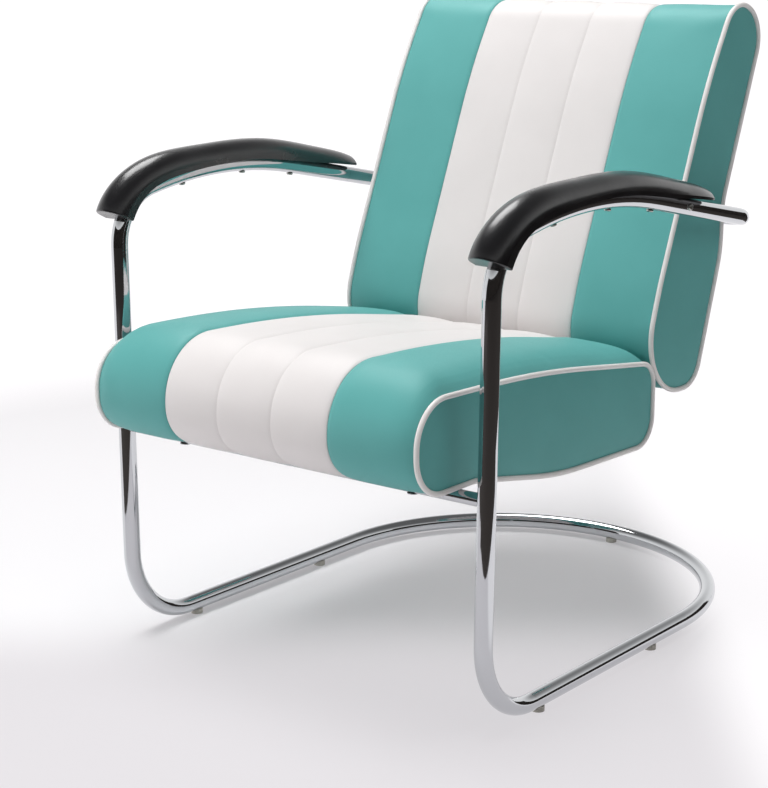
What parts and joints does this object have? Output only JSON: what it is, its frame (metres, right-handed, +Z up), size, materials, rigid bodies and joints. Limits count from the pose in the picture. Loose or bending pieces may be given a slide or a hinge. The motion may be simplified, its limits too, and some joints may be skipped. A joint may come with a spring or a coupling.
{
  "type": "lounge chair",
  "caption": "Cantilever lounge chair: bent chromed tube frame, lacquered armrests, and a seat and back cushion in turquoise and white leatherette with piping.",
  "frame": {"origin": "on the floor, in the middle of the chair's outer box", "axes": "+X to the sitter's left, which is the right of the picture, +Y from the front of the seat to the back, +Z up"},
  "size_m": [0.626, 0.8435, 0.8181],
  "materials": {
    "chromed_tube": "polished",
    "zinc_steel": "zinc plated",
    "nickel_screws": "nickel plated",
    "glide_nylon": "moulded",
    "black_lacquer": "black satin lacquer",
    "plywood": "sanded",
    "foam": "cut foam",
    "turquoise_leatherette": "semi-matt",
    "white_leatherette": "semi-matt",
    "white_piping": "semi-matt"
  },
  "bodies": {
    "root": {"left_side_tube": "chromed_tube", "right_side_tube": "chromed_tube", "base_hoop": "chromed_tube", "back_rail": "chromed_tube", "seat_rail": "chromed_tube", "base_spigots": "zinc_steel", "arm_spigots": "zinc_steel", "arm_spigot_screws": "nickel_screws", "floor_glides": "glide_nylon", "left_armrest": "black_lacquer", "right_armrest": "black_lacquer", "left_armrest_screws": "nickel_screws", "right_armrest_screws": "nickel_screws", "seat_board": "plywood", "back_board": "plywood", "seat_tee_nuts": "zinc_steel", "back_tee_nuts": "zinc_steel", "seat_bolts": "zinc_steel", "back_bolts": "zinc_steel", "back_sleeves": "zinc_steel", "seat_back_brackets": "zinc_steel", "seat_bracket_screws": "zinc_steel", "back_bracket_screws": "zinc_steel", "seat_foam": "foam", "back_foam": "foam", "seat_centre_cover": "white_leatherette", "back_centre_cover": "white_leatherette", "seat_left_stripe": "turquoise_leatherette", "seat_right_stripe": "turquoise_leatherette", "back_left_stripe": "turquoise_leatherette", "back_right_stripe": "turquoise_leatherette", "seat_left_side": "turquoise_leatherette", "seat_right_side": "turquoise_leatherette", "back_left_side": "turquoise_leatherette", "back_right_side": "turquoise_leatherette", "seat_left_piping": "white_piping", "seat_right_piping": "white_piping", "back_left_piping": "white_piping", "back_right_piping": "white_piping"}
  },
  "joints": []
}
